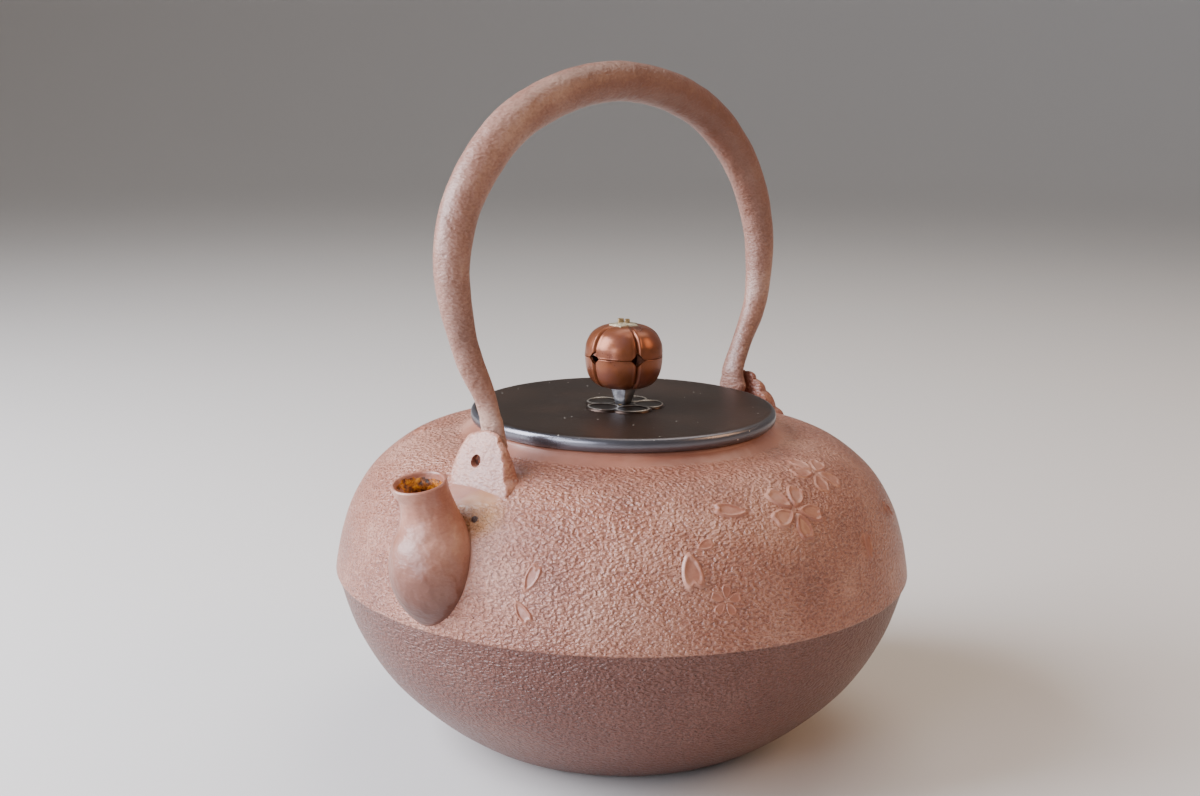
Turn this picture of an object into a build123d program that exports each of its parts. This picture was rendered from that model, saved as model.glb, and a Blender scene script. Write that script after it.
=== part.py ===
import os
from math import cos, hypot, radians, sin
from build123d import *

# Japanese cast iron kettle (tetsubin) with a tilting bow handle and a loose bronze lid.
# +Z is up, the origin is the centre of the base, and the spout points along -Y.
# The handle's hinge line runs along Y, through the two lugs on the shoulder.

# ---- driving dimensions, mm ----
WALL = 3.2               # casting wall
SEAM_Z = 54.1            # height of the mould seam round the belly
SEAM_STEP = 0.7          # the upper half overhangs the lower half by this much
BASE_R = 45.4            # flat the kettle stands on
BASE_DISH = 1.0          # the base is dished inside its standing ring
RIM_Z = 100.4            # top of the mouth's neck
NECK_R = 46.4            # outside of the neck
MOUTH_R = 43.2           # clear mouth

HINGE_Z = 99.0           # handle hinge line above the base
HINGE_R = 1.80           # lug and foot bore
PIN_R = 1.75             # pivot pin
HANDLE_LEAN = 2.5        # degrees the handle leans at rest
FOOT_S = 60.0            # middle of the handle's foot, from the centre
FOOT_T = 4.6             # foot thickness
LUG_IN = 63.0            # inner face of a lug, from the centre

LID_R = 47.9
LID_Z = 100.5
LID_T = 4.2
RING_R = 42.7            # locating ring under the lid
RING_H = 5.5
LID_BORE = 1.75
STEM_R = 1.6             # split pin that holds the knob

SEAT_R = 13.0            # flower washer on the lid
SEAT_T = 1.3
FLOWER_TURN = -30.3      # direction of the first petal, degrees from +X
COLLAR_TOP = 110.7
KNOB_R = 12.2
KNOB_TOP = 130.3
KNOB_SEAM = 121.0
KNOB_WALL = 1.2
CALYX_R = 4.3
STEM_TOP = 132.4

os.makedirs("parts", exist_ok=True)

# outside of the casting below and above the seam, as (radius, height)
LOWER = [
    (BASE_R, 0.0),
    (52.9, 3.8),
    (63.9, 11.9),
    (76.2, 24.3),
    (84.9, 39.0),
    (90.4 - SEAM_STEP, SEAM_Z - 0.2),
]
UPPER = [
    (90.4, SEAM_Z + 0.7),
    (89.9, 58.3),
    (88.3, 66.0),
    (85.1, 75.3),
    (79.2, 84.6),
    (70.1, 92.2),
    (62.0, 95.4),
    (55.0, 96.3),
]


def inset(points, depth):
    """The same curve moved towards the inside of the kettle by depth."""
    moved = []
    for i, (r, z) in enumerate(points):
        r0, z0 = points[max(i - 1, 0)]
        r1, z1 = points[min(i + 1, len(points) - 1)]
        length = hypot(r1 - r0, z1 - z0)
        moved.append((r - depth * (z1 - z0) / length, z + depth * (r1 - r0) / length))
    return moved


def save(piece, name):
    piece.label = name
    export_step(piece, f"parts/{name}.step")


# ---- the casting ----
inner = inset(LOWER[1:-1] + [(90.0, 52.0)] + UPPER[1:], WALL)

with BuildSketch(Plane.XZ) as body_profile:
    with BuildLine():
        foot_in = (BASE_R - 5.0, 0.0)
        Line((0, BASE_DISH), (BASE_R - 7.5, BASE_DISH))
        Line((BASE_R - 7.5, BASE_DISH), foot_in)
        Line(foot_in, LOWER[0])
        Spline(LOWER, tangents=[(1.0, 0.35), (0.12, 1.0)])
        Line(LOWER[-1], (90.4 - 0.5, SEAM_Z))
        Line((90.4 - 0.5, SEAM_Z), UPPER[0])
        Spline(UPPER, tangents=[(0.0, 1.0), (-1.0, 0.1)])
        Spline([UPPER[-1], (49.6, 97.4), (NECK_R + 0.4, RIM_Z - 1.2)], tangents=[(-1.0, 0.1), (-0.12, 1.0)])
        Line((NECK_R + 0.4, RIM_Z - 1.2), (NECK_R - 0.4, RIM_Z))
        Line((NECK_R - 0.4, RIM_Z), (MOUTH_R, RIM_Z))
        Line((MOUTH_R, RIM_Z), (MOUTH_R, 95.0))
        Line((MOUTH_R, 95.0), (inner[-1][0] - 6.0, 93.2))
        Line((inner[-1][0] - 6.0, 93.2), inner[-1])
        Spline(inner[::-1])
        Line(inner[0], (BASE_R - 2.0, 4.4))
        Line((BASE_R - 2.0, 4.4), (0, 4.4))
        Line((0, 4.4), (0, BASE_DISH))
    make_face()

with BuildSketch(Plane.XZ) as solid_profile:
    with BuildLine():
        Line((0, 20.0), (72.5, 20.0))
        Spline([(72.5, 20.0)] + LOWER[3:], tangents=[(0.7, 1.0), (0.12, 1.0)])
        Line(LOWER[-1], (90.4 - 0.5, SEAM_Z))
        Line((90.4 - 0.5, SEAM_Z), UPPER[0])
        Spline(UPPER, tangents=[(0.0, 1.0), (-1.0, 0.1)])
        Line(UPPER[-1], (0, 96.3))
        Line((0, 96.3), (0, 20.0))
    make_face()

# everything inside the outer skin, used to trim what is cast onto the wall
with BuildPart() as body_solid:
    add(solid_profile.sketch)
    revolve(axis=Axis.Z)

# spout sections as (distance from the centre, height, outside radius, lean outwards, sideways)
SPOUT = [
    (84.6, 55.2, 4.8, 0, 1.4),
    (85.0, 57.6, 7.2, 0, 1.4),
    (85.6, 61.0, 9.6, 0, 1.4),
    (86.1, 65.2, 11.4, 0, 1.4),
    (86.4, 69.8, 12.3, 0, 1.4),
    (86.4, 74.4, 12.4, 1, 1.3),
    (86.2, 79.2, 11.4, 3, 1.1),
    (86.2, 84.1, 9.3, 7, 0.8),
    (87.1, 88.9, 7.8, 12, 0.4),
    (88.4, 93.0, 7.3, 16, 0.1),
    (89.5, 95.2, 7.7, 14, 0.0),
    (90.3, 96.9, 7.6, 12, 0.0),
]
SPOUT_BORE = [
    (84.6, 63.5, 5.6, 0, 1.4),
    (85.2, 69.5, 9.0, 0, 1.4),
    (85.4, 74.4, 9.4, 1, 1.3),
    (85.5, 79.2, 8.4, 3, 1.1),
    (86.0, 84.1, 6.6, 7, 0.8),
    (87.0, 88.9, 5.4, 12, 0.4),
    (88.4, 93.0, 5.1, 16, 0.1),
    (89.6, 95.4, 5.7, 14, 0.0),
    (90.6, 97.9, 6.6, 12, 0.0),
]


def section_plane(s, z, lean, side):
    a = radians(lean)
    return Plane(origin=(side, -s, z), x_dir=(1, 0, 0), z_dir=(0, -sin(a), cos(a)))


with BuildPart() as spout_bore:
    for s, z, r, lean, side in SPOUT_BORE:
        with BuildSketch(section_plane(s, z, lean, side)):
            Circle(r)
    loft()

with BuildPart() as casting:
    add(body_profile.sketch)
    revolve(axis=Axis.Z)
    with BuildSketch(Plane.XZ.offset(70.0)):
        with Locations((0, 72.0)):
            Circle(7.2)
    extrude(amount=30.0, mode=Mode.SUBTRACT)
    add(spout_bore.part, mode=Mode.SUBTRACT)

# the two halves of the casting meet at the mould seam
with BuildPart() as kettle_bowl:
    add(casting.part)
    split(bisect_by=Plane.XY.offset(SEAM_Z), keep=Keep.BOTTOM)

with BuildPart() as kettle_shoulder:
    add(casting.part)
    split(bisect_by=Plane.XY.offset(SEAM_Z), keep=Keep.TOP)

with BuildPart() as spout:
    for s, z, r, lean, side in SPOUT:
        with BuildSketch(section_plane(s, z, lean, side)):
            Circle(r)
    loft()
    add(body_solid.part, mode=Mode.SUBTRACT)
    add(spout_bore.part, mode=Mode.SUBTRACT)

# ---- lugs: stepped mounds on the shoulder, outer face leaning in ----
LUG_OUTLINE = [
    (-7.0, 86.0),
    (-7.8, 91.2),
    (-8.7, 95.2),
    (-8.2, 99.4),
    (-7.2, 102.6),
    (-5.7, 105.4),
    (-3.1, 106.5),
    (0.6, 107.4),
    (3.6, 107.1),
    (6.1, 105.8),
    (7.6, 103.6),
    (9.8, 101.2),
    (11.2, 97.6),
    (13.2, 94.4),
    (14.5, 91.4),
    (15.5, 86.0),
]


def lug(side):
    """One lug; side is -1 at the spout and 1 at the back."""
    with BuildPart() as piece:
        with BuildSketch(Plane.XZ.offset(-side * 84.0)):
            with BuildLine():
                Spline(LUG_OUTLINE)
                Line(LUG_OUTLINE[-1], LUG_OUTLINE[0])
            make_face()
        extrude(amount=side * 26.0)
        with BuildSketch(Plane.YZ.offset(-20.0)):
            with BuildLine():
                Polyline(
                    (side * LUG_IN, 85.0),
                    (side * 73.2, 85.0),
                    (side * 64.6, 106.2),
                    (side * 64.0, 108.0),
                    (side * LUG_IN, 108.0),
                    close=True,
                )
            make_face()
        extrude(amount=40.0, mode=Mode.INTERSECT)
        add(body_solid.part, mode=Mode.SUBTRACT)
        with BuildSketch(Plane.XZ.offset(-side * 84.0)):
            with Locations((0, HINGE_Z)):
                Circle(HINGE_R)
        extrude(amount=side * 26.0, mode=Mode.SUBTRACT)
    return piece.part


front_lug = lug(-1)
rear_lug = lug(1)

# ---- handle: one bent bar with flattened feet ----
# centre line as (along the hinge line, height, thickness in the bow's plane, width across it)
BOW = [
    (60.0, 102.6, 4.2, 8.6),
    (60.2, 108.4, 4.8, 8.0),
    (62.9, 117.0, 6.6, 7.4),
    (68.4, 128.0, 8.2, 8.0),
    (72.4, 140.0, 9.4, 9.2),
    (74.4, 153.4, 10.9, 10.2),
    (71.9, 166.6, 12.0, 11.2),
    (65.2, 178.0, 12.5, 11.8),
    (56.2, 187.4, 12.8, 12.2),
    (45.7, 194.6, 12.9, 12.4),
    (34.2, 199.4, 12.9, 12.4),
    (22.8, 202.6, 12.8, 12.4),
    (11.4, 204.4, 12.7, 12.4),
    (0.0, 205.0, 12.7, 12.4),
]
REAR_OUT = [0.0, 0.2, 3.0, 4.8, 3.8, 1.8, 0.5]    # the rear arm is bent out further than the front one

arch = [(-s, z, t, w) for s, z, t, w in BOW]
for i, (s, z, t, w) in enumerate(BOW[-2::-1]):
    k = len(BOW) - 2 - i
    out = REAR_OUT[k] if k < len(REAR_OUT) else 0.0
    arch.append((s + out, z, t, w))

lean_plane = Plane(
    origin=(0, 0, HINGE_Z),
    x_dir=(0, 1, 0),
    z_dir=(cos(radians(HANDLE_LEAN)), 0, sin(radians(HANDLE_LEAN))),
)


def bow_plane(i):
    """The plane across the bow at station i, its x axis in the bow's plane."""
    y0, z0 = arch[max(i - 1, 0)][:2]
    y1, z1 = arch[min(i + 1, len(arch) - 1)][:2]
    if i in (0, len(arch) - 1):
        y0, z0, y1, z1 = arch[i][0], 0.0, arch[i][0], 1.0 if i == 0 else -1.0
    along = lean_plane.from_local_coords(Vector(y1 - y0, z1 - z0, 0)) - lean_plane.origin
    centre = lean_plane.from_local_coords(Vector(arch[i][0], arch[i][1] - HINGE_Z, 0))
    return Plane(origin=centre, x_dir=lean_plane.z_dir.cross(along), z_dir=along)


FOOT_HALF = 5.2
with BuildPart() as handle_bow:
    for i, (s, z, t, w) in enumerate(arch):
        with BuildSketch(bow_plane(i)):
            if i in (0, len(arch) - 1):
                RectangleRounded(t, w, 1.6)
            else:
                Ellipse(t / 2, w / 2)
    loft()
    for side in (-1, 1):
        foot_plane = Plane(
            origin=lean_plane.from_local_coords(Vector(side * FOOT_S + FOOT_T / 2, 0, 0)),
            x_dir=lean_plane.z_dir,
            z_dir=(0, -1, 0),
        )
        with BuildSketch(foot_plane):
            with BuildLine():
                Line((-2.5, -1.2), (-FOOT_HALF, 3.4))
                Line((-FOOT_HALF, 3.4), (-4.8, 5.4))
                Line((-4.8, 5.4), (4.8, 5.4))
                Line((4.8, 5.4), (FOOT_HALF, 3.4))
                Line((FOOT_HALF, 3.4), (2.5, -1.2))
                ThreePointArc((2.5, -1.2), (0, -2.6), (-2.5, -1.2))
            make_face()
        extrude(amount=FOOT_T)
        with BuildSketch(foot_plane):
            Circle(PIN_R)
        extrude(amount=FOOT_T, mode=Mode.SUBTRACT)


def pivot_pin(side):
    """A pin fixed in the handle's foot, its free end short of the lug's outer face."""
    with BuildPart() as piece:
        with BuildSketch(Plane.XZ.offset(-side * (FOOT_S - FOOT_T / 2))):
            with Locations((0, HINGE_Z)):
                Circle(PIN_R)
        extrude(amount=-side * 8.4)
        chamfer(piece.edges().filter_by(GeomType.CIRCLE), 0.3)
    return piece.part


front_pivot_pin = pivot_pin(-1)
rear_pivot_pin = pivot_pin(1)

# ---- lid ----
with BuildPart() as lid_plate:
    with BuildSketch(Plane.XY.offset(LID_Z)):
        Circle(LID_R)
    extrude(amount=LID_T)
    fillet(lid_plate.edges().sort_by(Axis.Z)[-1], 1.5)
    fillet(lid_plate.edges().sort_by(Axis.Z)[0], 0.8)
    with BuildSketch(Plane.XY.offset(LID_Z)):
        Circle(RING_R - 2.2)
    extrude(amount=1.6, mode=Mode.SUBTRACT)
    with BuildSketch(Plane.XY.offset(LID_Z)):
        Circle(RING_R)
        Circle(RING_R - 2.2, mode=Mode.SUBTRACT)
    extrude(amount=-RING_H)
    with BuildSketch(Plane.XY.offset(LID_Z - 10)):
        Circle(LID_BORE)
    extrude(amount=20.0, mode=Mode.SUBTRACT)

LID_TOP = LID_Z + LID_T
LID_UNDER = LID_Z + 1.6


def ring_points(radius_at, count):
    """Points round Z at the radius given for each direction, in degrees."""
    points = []
    for k in range(count):
        angle = 360.0 * k / count
        r = radius_at(angle)
        points.append((r * cos(radians(angle)), r * sin(radians(angle))))
    return points


def lobes(angle):
    """1 in the middle of each of five lobes, 0 in the valleys between them."""
    return abs(cos(radians(2.5 * (angle - FLOWER_TURN))))


with BuildPart() as flower_seat:
    with BuildSketch(Plane.XY.offset(LID_TOP)):
        with BuildLine():
            Spline(ring_points(lambda a: SEAT_R - 2.6 * (1 - lobes(a) ** 0.6), 60), periodic=True)
        make_face()
    extrude(amount=SEAT_T)
    for k in range(5):
        turn = radians(FLOWER_TURN + 72 * k)
        with BuildSketch(Plane.XY.offset(LID_TOP + SEAT_T)):
            with Locations((8.1 * cos(turn), 8.1 * sin(turn))):
                Circle(3.7)
        extrude(amount=-0.7, mode=Mode.SUBTRACT)
    with BuildSketch(Plane.XY.offset(LID_TOP)):
        Circle(LID_BORE)
    extrude(amount=SEAT_T, mode=Mode.SUBTRACT)

# ---- knob: a faceted collar, two ribbed half shells, and a cap of sepals ----
COLLAR_BASE = LID_TOP + SEAT_T
with BuildPart() as collar:
    with BuildSketch(Plane.XY.offset(COLLAR_BASE)):
        RectangleRounded(4.5, 4.5, 0.4)
    with BuildSketch(Plane.XY.offset(COLLAR_TOP)):
        RectangleRounded(5.6, 5.6, 0.5)
    loft()
    with BuildSketch(Plane.XY.offset(COLLAR_BASE)):
        Circle(LID_BORE)
    extrude(amount=COLLAR_TOP - COLLAR_BASE, mode=Mode.SUBTRACT)

# knob sections as (height, radius, depth of the ribs)
KNOB_LOWER = [
    (COLLAR_TOP, 5.4, 0.2),
    (111.5, 8.3, 0.5),
    (113.4, 10.6, 0.8),
    (116.4, 11.8, 0.9),
    (KNOB_SEAM, KNOB_R, 0.9),
]
KNOB_UPPER = [
    (KNOB_SEAM, KNOB_R, 0.9),
    (124.8, 11.7, 0.9),
    (127.6, 10.2, 0.8),
    (129.4, 7.8, 0.6),
    (KNOB_TOP, 4.6, 0.2),
]


def ribbed(sections, shrink):
    """A solid through five-lobed sections; shrink makes the smaller one that hollows it."""
    with BuildPart() as piece:
        for z, r, rib in sections:
            with BuildSketch(Plane.XY.offset(z)):
                with BuildLine():
                    groove = 0.0 if shrink else rib
                    Spline(ring_points(lambda a: r - shrink - groove * lobes(a) ** 12, 120), periodic=True)
                make_face()
        loft()
    return piece.part


def half_shell(sections, floor):
    hollow = [(z, r, rib) for z, r, rib in sections]
    hollow[floor] = (hollow[floor][0] + (KNOB_WALL if floor == 0 else -KNOB_WALL), hollow[floor][1], 0)
    with BuildPart() as piece:
        add(ribbed(sections, 0.0))
        add(ribbed(hollow, KNOB_WALL + 0.9), mode=Mode.SUBTRACT)
        for k in range(5):
            turn = radians(FLOWER_TURN + 72 * k)
            out = Plane(origin=(0, 0, KNOB_SEAM), x_dir=(-sin(turn), cos(turn), 0), z_dir=(cos(turn), sin(turn), 0))
            with BuildSketch(out.offset(7.0)):
                Rectangle(2.9, 2.9, rotation=45)
            extrude(amount=8.0, mode=Mode.SUBTRACT)
        with BuildSketch(Plane.XY.offset(COLLAR_TOP - 1)):
            Circle(LID_BORE)
        extrude(amount=30.0, mode=Mode.SUBTRACT)
    return piece.part


knob_lower_half = half_shell(KNOB_LOWER, 0)
knob_upper_half = half_shell(KNOB_UPPER, -1)

with BuildPart() as calyx:
    with BuildSketch(Plane.XY.offset(KNOB_TOP)):
        with BuildLine():
            Spline(ring_points(lambda a: CALYX_R - 1.5 * (1 - lobes(a + 36)), 60), periodic=True)
        make_face()
    extrude(amount=0.6)
    with BuildSketch(Plane.XY.offset(KNOB_TOP)):
        Circle(LID_BORE)
    extrude(amount=0.6, mode=Mode.SUBTRACT)

# split pin: flat head under the lid, two legs up through the knob, ends turned over the cap
with BuildPart() as split_pin:
    with BuildSketch(Plane.XY.offset(LID_UNDER - 1.4)):
        Circle(4.0)
    extrude(amount=1.4)
    with BuildSketch(Plane.XY.offset(LID_UNDER)):
        Circle(STEM_R)
    extrude(amount=STEM_TOP - LID_UNDER)
    with BuildSketch(Plane.XY.offset(115.0)):
        Rectangle(0.5, 4.0, rotation=FLOWER_TURN)
    extrude(amount=20.0, mode=Mode.SUBTRACT)
    with BuildSketch(Plane.XY.offset(KNOB_TOP + 0.6)):
        with Locations((0.0, 0.0)):
            Rectangle(4.6, 1.6, rotation=FLOWER_TURN)
            Rectangle(0.5, 4.0, rotation=FLOWER_TURN, mode=Mode.SUBTRACT)
    extrude(amount=0.7)

save(kettle_bowl.part, "kettle_bowl")
save(kettle_shoulder.part, "kettle_shoulder")
save(spout.part, "spout")
save(front_lug, "front_lug")
save(rear_lug, "rear_lug")
save(handle_bow.part, "handle_bow")
save(front_pivot_pin, "front_pivot_pin")
save(rear_pivot_pin, "rear_pivot_pin")
save(lid_plate.part, "lid_plate")
save(flower_seat.part, "flower_seat")
save(collar.part, "collar")
save(knob_lower_half, "knob_lower_half")
save(knob_upper_half, "knob_upper_half")
save(calyx.part, "calyx")
save(split_pin.part, "split_pin")
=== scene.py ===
from math import atan2, cos, exp, hypot, pi, radians, sin

import bmesh
import bpy
from mathutils import Matrix, Vector, noise


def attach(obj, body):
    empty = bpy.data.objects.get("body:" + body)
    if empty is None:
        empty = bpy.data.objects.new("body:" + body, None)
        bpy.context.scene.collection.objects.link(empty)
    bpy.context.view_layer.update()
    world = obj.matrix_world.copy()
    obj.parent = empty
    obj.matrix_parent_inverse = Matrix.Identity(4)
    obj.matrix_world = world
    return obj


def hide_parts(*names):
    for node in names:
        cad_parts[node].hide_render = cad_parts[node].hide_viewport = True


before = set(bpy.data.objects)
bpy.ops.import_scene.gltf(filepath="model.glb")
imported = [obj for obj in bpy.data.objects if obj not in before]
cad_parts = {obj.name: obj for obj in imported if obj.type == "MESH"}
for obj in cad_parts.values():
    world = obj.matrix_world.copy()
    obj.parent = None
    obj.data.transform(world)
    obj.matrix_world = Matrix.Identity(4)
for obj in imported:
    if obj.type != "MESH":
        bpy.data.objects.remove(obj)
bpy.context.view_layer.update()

# Shapes are drawn in millimetres, in the kettle's own frame, and turned to metres as each piece is finished.
VIEW = 38.5              # the camera stands this far round from the spout, degrees

# ---------------------------------------------------------------- the casting's shape, as (radius, height)
LOWER = [(45.4, 0.0), (52.9, 3.8), (63.9, 11.9), (76.2, 24.3), (84.9, 39.0), (89.7, 53.6)]
UPPER = [
    (90.4, 54.8), (89.9, 58.3), (88.3, 66.0), (85.1, 75.3),
    (79.2, 84.6), (70.1, 92.2), (62.0, 95.4), (55.0, 96.3),
]
NECK = [(55.0, 96.3), (51.2, 96.9), (48.6, 98.1), (46.9, 99.4)]
WALL = 3.2


def smooth(points, steps):
    """Points along a smooth curve through the given ones, with so many steps to each span."""
    line = []
    for i in range(len(points) - 1):
        four = [points[max(i - 1, 0)], points[i], points[i + 1], points[min(i + 2, len(points) - 1)]]
        for k in range(steps):
            t = k / steps
            line.append(tuple(
                0.5 * (2 * q + (r - p) * t + (2 * p - 5 * q + 4 * r - s) * t**2
                       + (3 * q - p - 3 * r + s) * t**3)
                for p, q, r, s in zip(*four)
            ))
    line.append(tuple(points[-1]))
    return line


def inset(line, depth):
    """A profile moved inwards by depth."""
    moved = []
    for i, (r, z) in enumerate(line):
        r0, z0 = line[max(i - 1, 0)]
        r1, z1 = line[min(i + 1, len(line) - 1)]
        span = hypot(r1 - r0, z1 - z0)
        moved.append((r - depth * (z1 - z0) / span, z + depth * (r1 - r0) / span))
    return moved


SKIN = smooth(UPPER, 12)


def skin_at(height, up):
    """The upper skin's (radius, height) and slope, measured up the wall from a height."""
    i = min(range(len(SKIN)), key=lambda k: abs(SKIN[k][1] - height))
    left = up
    step = 1 if up > 0 else -1
    while 0 < i + step < len(SKIN) - 1:
        (r0, z0), (r1, z1) = SKIN[i], SKIN[i + step]
        span = hypot(r1 - r0, z1 - z0)
        if span >= abs(left):
            t = abs(left) / span
            r, z = r0 + (r1 - r0) * t, z0 + (z1 - z0) * t
            tilt = atan2((r0 - r1) * step, (z1 - z0) * step)
            return r, z, tilt
        left -= step * span
        i += step
    (r0, z0), (r1, z1) = SKIN[i - 1], SKIN[i]
    return r1, z1, atan2(r0 - r1, z1 - z0)


# ---------------------------------------------------------------- mesh helpers
def spun(points, steps, touching):
    """A line of points swept once round the Z axis, its coincident points merged."""
    bm = bmesh.new()
    verts = [bm.verts.new(point) for point in points]
    edges = [bm.edges.new(pair) for pair in zip(verts, verts[1:])]
    bmesh.ops.spin(
        bm, geom=verts + edges, cent=(0, 0, 0), axis=(0, 0, 1), angle=2 * pi, steps=steps, use_merge=True)
    bmesh.ops.remove_doubles(bm, verts=bm.verts, dist=touching)
    return bm


def lathe(profile, steps):
    """The solid of revolution of a profile given as (radius, height)."""
    bm = spun([(r, 0.0, z) for r, z in profile], steps, 1e-4)
    bmesh.ops.recalc_face_normals(bm, faces=bm.faces)
    return bm


def disc(rings, unit, steps):
    """A flat disc of rings, to press into relief; the ring numbered unit has a radius of 1."""
    return spun([(k / unit, 0, 0) for k in range(rings + 1)], steps, 1e-5)


def next_ring(bm, ring):
    """Extrudes a ring of edges; gives the new ring and its corners, which still lie on the old ones."""
    grown = bmesh.ops.extrude_edge_only(bm, edges=ring)["geom"]
    edges = [g for g in grown if isinstance(g, bmesh.types.BMEdge)]
    corners = [g for g in grown if isinstance(g, bmesh.types.BMVert)]
    return edges, corners


def underside(bm):
    """Thickens a sheet; gives the corners of its new underside, which still lie on the top's."""
    grown = bmesh.ops.extrude_face_region(bm, geom=bm.faces[:])["geom"]
    return [g for g in grown if isinstance(g, bmesh.types.BMVert)]


def sweep(places, segments):
    """A closed tube whose rings are unit circles put at the given places."""
    bm = bmesh.new()
    bmesh.ops.create_circle(bm, cap_ends=True, segments=segments, radius=1.0, matrix=places[0])
    ring = list(bm.edges)
    for before, after in zip(places, places[1:]):
        ring, corners = next_ring(bm, ring)
        bmesh.ops.transform(bm, matrix=after @ before.inverted(), verts=corners)
    bmesh.ops.contextual_create(bm, geom=ring)
    bmesh.ops.recalc_face_normals(bm, faces=bm.faces)
    return bm


def rod(radius, length, middle, segments):
    """A round rod lying along Y."""
    bm = bmesh.new()
    place = Matrix.Translation(middle) @ Matrix.Rotation(pi / 2, 4, "X")
    bmesh.ops.create_cone(
        bm, cap_ends=True, segments=segments, radius1=radius, radius2=radius, depth=length, matrix=place)
    return bm


def mesh_of(bm, name):
    mesh = bpy.data.meshes.new(name)
    bm.to_mesh(mesh)
    bm.free()
    return mesh


def join(*parts):
    """Several meshes as one."""
    whole = bmesh.new()
    for bm in parts:
        whole.from_mesh(mesh_of(bm, "part"))
    return whole


def carve(bm, cutter, folded=False):
    """bm with the cutter's solid taken away; folded where bm runs through itself."""
    solid = bpy.data.objects.new("solid", mesh_of(bm, "solid"))
    tool = bpy.data.objects.new("tool", mesh_of(cutter, "tool"))
    for obj in (solid, tool):
        bpy.context.scene.collection.objects.link(obj)
    cut = solid.modifiers.new("cut", "BOOLEAN")
    cut.operation = "DIFFERENCE"
    cut.solver = "EXACT"
    cut.use_self = folded
    cut.object = tool
    done = bpy.data.meshes.new_from_object(solid.evaluated_get(bpy.context.evaluated_depsgraph_get()))
    bpy.data.objects.remove(solid)
    bpy.data.objects.remove(tool)
    out = bmesh.new()
    out.from_mesh(done)
    return out


def skin_core():
    """The solid just under the body's skin, which a piece cast onto it is cut back to."""
    under = inset(smooth(LOWER[3:], 8) + SKIN, 0.35)
    return lathe([(0.0, 30.0), (70.0, 30.0)] + under + [(0.0, 95.0)], 160)


def finish(bm, name, body, materials, nodes=(), crease=40):
    """Turns a bmesh in mm into a piece that rides on a body."""
    bmesh.ops.scale(bm, vec=(0.001, 0.001, 0.001), verts=bm.verts)
    mesh = mesh_of(bm, name)
    mesh.shade_smooth()
    mesh.set_sharp_from_angle(angle=radians(crease))
    for material in materials:
        mesh.materials.append(material)
    piece = bpy.data.objects.new(name, mesh)
    bpy.context.scene.collection.objects.link(piece)
    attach(piece, body)
    if nodes:
        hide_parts(*nodes)


# ---------------------------------------------------------------- material helpers
def colour(text):
    """An sRGB hex colour as linear RGBA."""
    parts = [int(text[i:i + 2], 16) / 255 for i in (1, 3, 5)]
    return [c / 12.92 if c <= 0.04045 else ((c + 0.055) / 1.055) ** 2.4 for c in parts] + [1.0]


def per(size):
    """The texture scale, in metres, that gives features of a size in mm."""
    return 1000.0 / size


def node(tree, kind, inputs=None, stops=None, **settings):
    """Adds a node: settings are its properties, inputs are values or the sockets that feed it."""
    new = tree.nodes.new(kind)
    for key, value in settings.items():
        setattr(new, key, value)
    for key, value in (inputs or {}).items():
        if isinstance(value, bpy.types.NodeSocket):
            tree.links.new(value, new.inputs[key])
        else:
            new.inputs[key].default_value = value
    if stops:
        ramp = new.color_ramp
        while len(ramp.elements) < len(stops):
            ramp.elements.new(1.0)
        for element, (place, shade) in zip(ramp.elements, stops):
            element.position = place
            element.color = colour(shade)
    return new


def material(name):
    """A new material, its empty node tree, and the piece's own coordinates."""
    mat = bpy.data.materials.new(name)
    mat.use_nodes = True
    tree = mat.node_tree
    tree.nodes.clear()
    return mat, tree, node(tree, "ShaderNodeTexCoord").outputs["Object"]


def surface(tree, inputs):
    """The shader that a material shows."""
    shader = node(tree, "ShaderNodeBsdfPrincipled", inputs)
    node(tree, "ShaderNodeOutputMaterial", {"Surface": shader.outputs[0]})


def near(tree, where, spot, inner, outer):
    """0 within inner metres of a spot, rising to 1 at outer."""
    away = node(tree, "ShaderNodeVectorMath", {0: where, 1: spot}, operation="DISTANCE")
    return node(tree, "ShaderNodeMapRange", {
        "Value": away.outputs["Value"], "From Min": inner, "From Max": outer},
        interpolation_type="SMOOTHSTEP").outputs[0]


def from_axis(tree, where):
    """Distance from the kettle's upright axis, in metres."""
    split = node(tree, "ShaderNodeSeparateXYZ", {"Vector": where})
    flat = node(tree, "ShaderNodeCombineXYZ", {"X": split.outputs[0], "Y": split.outputs[1], "Z": 0.0})
    return node(tree, "ShaderNodeVectorMath", {0: flat.outputs[0]}, operation="LENGTH").outputs["Value"]


def stain(tree, under, where, spot, reach, shade, strength):
    """A soft-edged stain of a colour round a spot, ragged with noise."""
    ragged = node(tree, "ShaderNodeTexNoise", {"Vector": where, "Scale": per(reach * 500), "Detail": 4.0})
    edge = near(tree, where, spot, reach * 0.25, reach)
    amount = node(tree, "ShaderNodeMath", {
        0: ragged.outputs[0], 1: edge}, operation="SUBTRACT", use_clamp=True)
    amount = node(tree, "ShaderNodeMath", {
        0: amount.outputs[0], 1: strength * 2.0}, operation="MULTIPLY", use_clamp=True)
    return node(tree, "ShaderNodeMix", {
        "Factor": amount.outputs[0], "A": under, "B": colour(shade)}, data_type="RGBA").outputs["Result"]


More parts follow.
